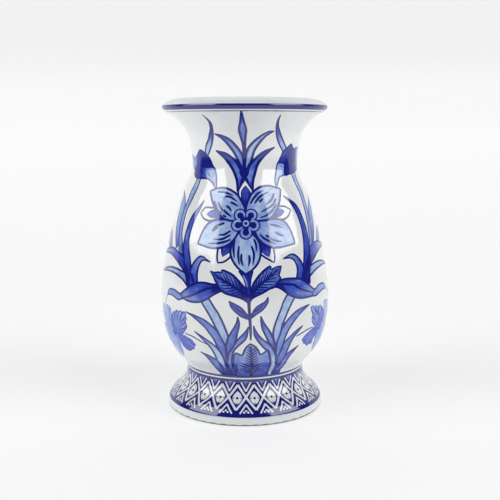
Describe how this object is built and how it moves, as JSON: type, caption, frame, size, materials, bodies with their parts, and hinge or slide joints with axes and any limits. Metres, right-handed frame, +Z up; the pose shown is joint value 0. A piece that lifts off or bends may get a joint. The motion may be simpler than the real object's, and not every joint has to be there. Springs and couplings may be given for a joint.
{
  "type": "pottery vase",
  "caption": "Baluster vase with a flared foot, round belly and trumpet neck with a rolled lip, glazed white with cobalt-blue brush painting.",
  "frame": {"origin": "centre of the flat ring that the vase stands on", "axes": "+Z up along the axis of revolution; the middle of the painted flower faces -Y, and +X is to the right of it"},
  "size_m": [0.1104, 0.1104, 0.2],
  "materials": {
    "glazed_body": "clear gloss glaze over a white body",
    "luting_slip": "matte fired slip",
    "cobalt_line": "dark cobalt under clear gloss glaze",
    "cobalt_wash": "thin cobalt wash under clear gloss glaze",
    "bare_clay": "unglazed, wiped foot ring"
  },
  "bodies": {
    "root": {"foot": "glazed_body", "lower_belly": "glazed_body", "upper_belly": "glazed_body", "neck": "glazed_body", "waist_luting": "luting_slip", "belly_luting": "luting_slip", "throat_luting": "luting_slip"}
  },
  "joints": []
}
